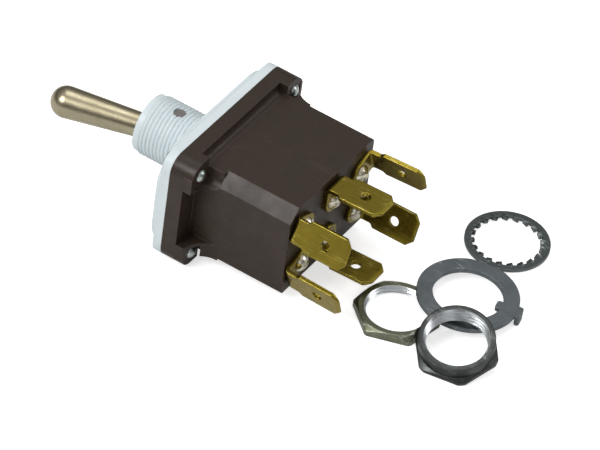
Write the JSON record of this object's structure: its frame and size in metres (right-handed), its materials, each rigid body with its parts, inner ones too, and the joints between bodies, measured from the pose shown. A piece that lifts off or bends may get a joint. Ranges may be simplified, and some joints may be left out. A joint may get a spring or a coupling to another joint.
{
  "type": "panel toggle switch",
  "caption": "Sealed panel toggle switch with bat lever, threaded bushing, deep moulded case and push-on blade terminals, lying on its side beside its mounting nuts and washers.",
  "frame": {"origin": "on the bushing's axis, at the cover plate's raised seating face", "axes": "-Y out of the panel along the bushing, +Y towards the terminals, X along the toggle direction and the long side of the case, +Z away from the surface that it lies on"},
  "size_m": [0.0528, 0.0965, 0.024],
  "materials": {
    "painted_front": "satin",
    "case_moulding": "satin moulded",
    "gasket": "matt",
    "lever_metal": "satin plated",
    "pin_steel": "ground",
    "moulded_yoke": "matt",
    "spring_wire": "drawn wire",
    "contact_alloy": "rolled",
    "terminal_brass": "rolled and plated",
    "contact_rivet": "headed and plated",
    "rivet_steel": "plated",
    "plated_nut": "bright zinc plated",
    "black_nut": "black finished",
    "ring_steel": "phosphated",
    "washer_steel": "phosphated"
  },
  "bodies": {
    "housing": {"bushing": "painted_front", "cover_plate": "painted_front", "case": "case_moulding", "cover_gasket": "gasket", "pivot_pin": "pin_steel", "terminal_a1": "terminal_brass", "terminal_a2": "terminal_brass", "terminal_a3": "terminal_brass", "terminal_b1": "terminal_brass", "terminal_b2": "terminal_brass", "terminal_b3": "terminal_brass", "contact_rivet_a1": "contact_rivet", "contact_rivet_a2": "contact_rivet", "contact_rivet_a3": "contact_rivet", "contact_rivet_b1": "contact_rivet", "contact_rivet_b2": "contact_rivet", "contact_rivet_b3": "contact_rivet", "case_rivet_1": "rivet_steel", "case_rivet_2": "rivet_steel", "case_rivet_3": "rivet_steel", "case_rivet_4": "rivet_steel", "hex_nut": "plated_nut", "collar_nut": "black_nut", "locking_ring": "ring_steel", "lock_washer": "washer_steel"},
    "lever_group": {"lever": "lever_metal", "yoke": "moulded_yoke", "plunger_a": "moulded_yoke", "plunger_b": "moulded_yoke", "plunger_spring_a": "spring_wire", "plunger_spring_b": "spring_wire"},
    "contact_a": {"rocker_a": "contact_alloy"},
    "contact_b": {"rocker_b": "contact_alloy"}
  },
  "joints": [
    {"name": "lever_tilt", "type": "hinge", "parent": "housing", "child": "lever_group", "pos_m": [0, -0.0071, 0], "axis": [0, 0, 1], "range_deg": [-29, 0]},
    {"name": "rocker_a_tilt", "type": "hinge", "parent": "housing", "child": "contact_a", "pos_m": [0, 0.015, 0.00445], "axis": [0, 0, 1], "range_deg": [0, 13]},
    {"name": "rocker_b_tilt", "type": "hinge", "parent": "housing", "child": "contact_b", "pos_m": [0, 0.015, -0.00445], "axis": [0, 0, 1], "range_deg": [0, 13]}
  ],
  "couplings": [
    {"joint": "rocker_a_tilt", "follows": "lever_tilt", "ratio": -0.44827},
    {"joint": "rocker_b_tilt", "follows": "lever_tilt", "ratio": -0.44827}
  ]
}
